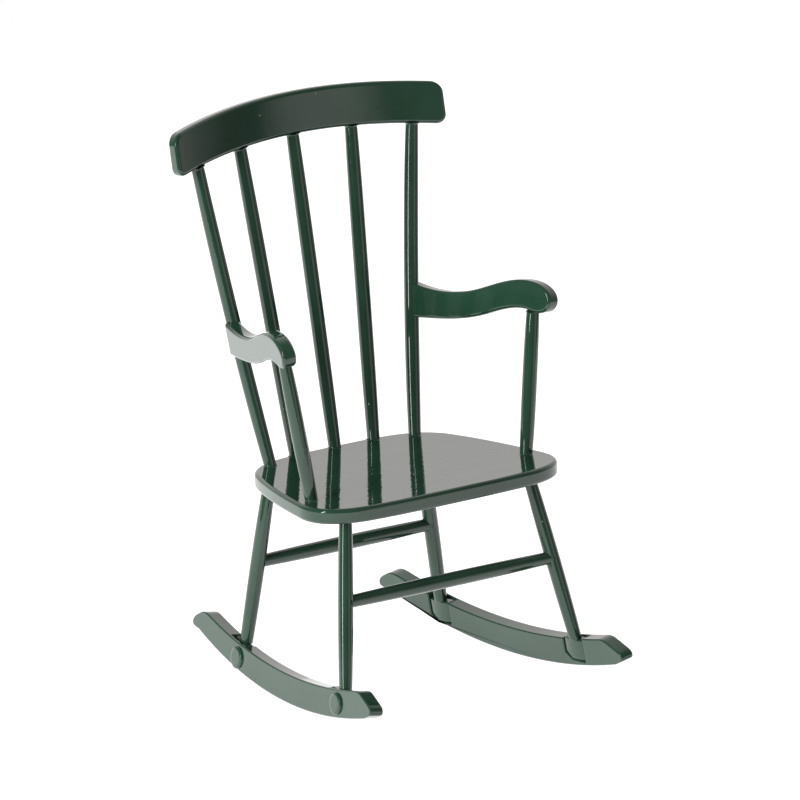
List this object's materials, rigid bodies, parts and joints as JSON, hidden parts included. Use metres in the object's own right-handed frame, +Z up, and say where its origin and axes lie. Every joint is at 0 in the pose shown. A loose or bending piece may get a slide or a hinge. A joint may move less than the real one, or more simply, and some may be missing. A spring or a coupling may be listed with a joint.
{
  "type": "miniature rocking chair",
  "caption": "Miniature stick-back rocking chair in glossy painted metal, with a curved crest rail, scrolled side arms, turned legs and curved rockers.",
  "frame": {"origin": "on the floor, below the middle of the chair's bounding box", "axes": "+Z up, the chair faces -Y, +X towards the sitter's left hand"},
  "size_m": [0.0796, 0.0988, 0.1342],
  "materials": {
    "enamel": "high-gloss dark green enamel"
  },
  "bodies": {
    "root": {"arm_left": "enamel", "arm_post_left": "enamel", "arm_post_right": "enamel", "arm_right": "enamel", "back_post_left": "enamel", "back_post_right": "enamel", "back_spindle_centre": "enamel", "back_spindle_left": "enamel", "back_spindle_right": "enamel", "crest_rail": "enamel", "leg_back_left": "enamel", "leg_back_right": "enamel", "leg_front_left": "enamel", "leg_front_right": "enamel", "rivet_back_left": "enamel", "rivet_back_right": "enamel", "rivet_front_left": "enamel", "rivet_front_right": "enamel", "rocker_left": "enamel", "rocker_right": "enamel", "seat": "enamel", "stretcher_back": "enamel", "stretcher_front": "enamel"}
  },
  "joints": []
}
